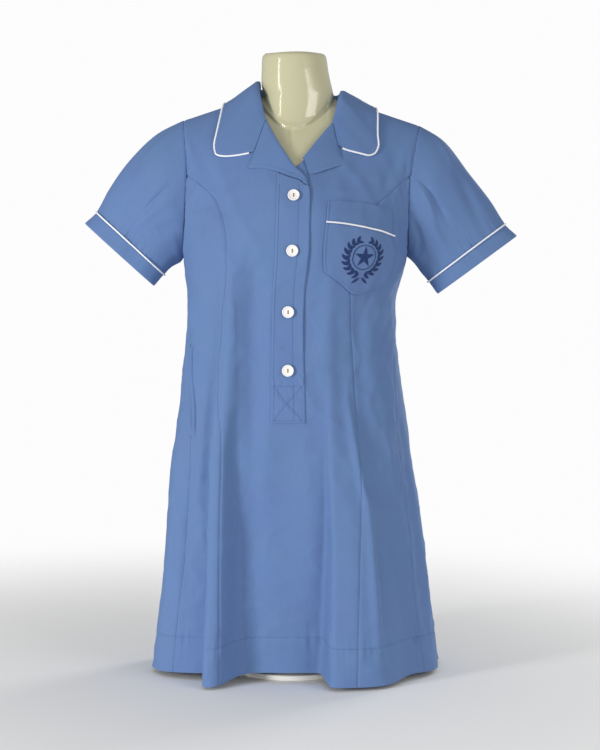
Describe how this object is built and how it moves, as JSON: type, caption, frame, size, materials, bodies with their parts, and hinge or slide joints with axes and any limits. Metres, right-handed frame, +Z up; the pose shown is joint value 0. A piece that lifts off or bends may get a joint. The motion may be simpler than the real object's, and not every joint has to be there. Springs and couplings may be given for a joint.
{
  "type": "school uniform dress on a dress form",
  "caption": "Short-sleeved A-line school dress with notched collar, buttoned half placket and chest pocket, hollow, on a limbless torso form with pole and base",
  "frame": {"origin": "centre of the underside of the stand's base", "axes": "+Z up; the wearer faces -Y; +X is the wearer's left"},
  "size_m": [0.6834, 0.3167, 0.979],
  "materials": {
    "dress_poplin": "plain weave poplin, matt",
    "white_piping": "covered cord, matt",
    "button": "polished",
    "form_plastic": "blow moulded, glossy",
    "stand_coating": "powder coated, satin",
    "stand_steel": "satin"
  },
  "bodies": {
    "root": {"back": "dress_poplin", "front_centre": "dress_poplin", "side_front_left": "dress_poplin", "side_front_right": "dress_poplin", "sleeve_left": "dress_poplin", "sleeve_right": "dress_poplin", "cuff_left": "dress_poplin", "cuff_right": "dress_poplin", "collar": "dress_poplin", "lapel_left": "dress_poplin", "lapel_right": "dress_poplin", "placket_under": "dress_poplin", "placket_over": "dress_poplin", "chest_pocket": "dress_poplin", "pocket_band": "dress_poplin", "collar_piping": "white_piping", "pocket_piping": "white_piping", "cuff_piping_left": "white_piping", "cuff_piping_right": "white_piping", "button_1": "button", "button_2": "button", "button_3": "button", "button_4": "button", "torso_form": "form_plastic", "stand_base": "stand_coating", "stand_pole": "stand_steel"}
  },
  "joints": []
}
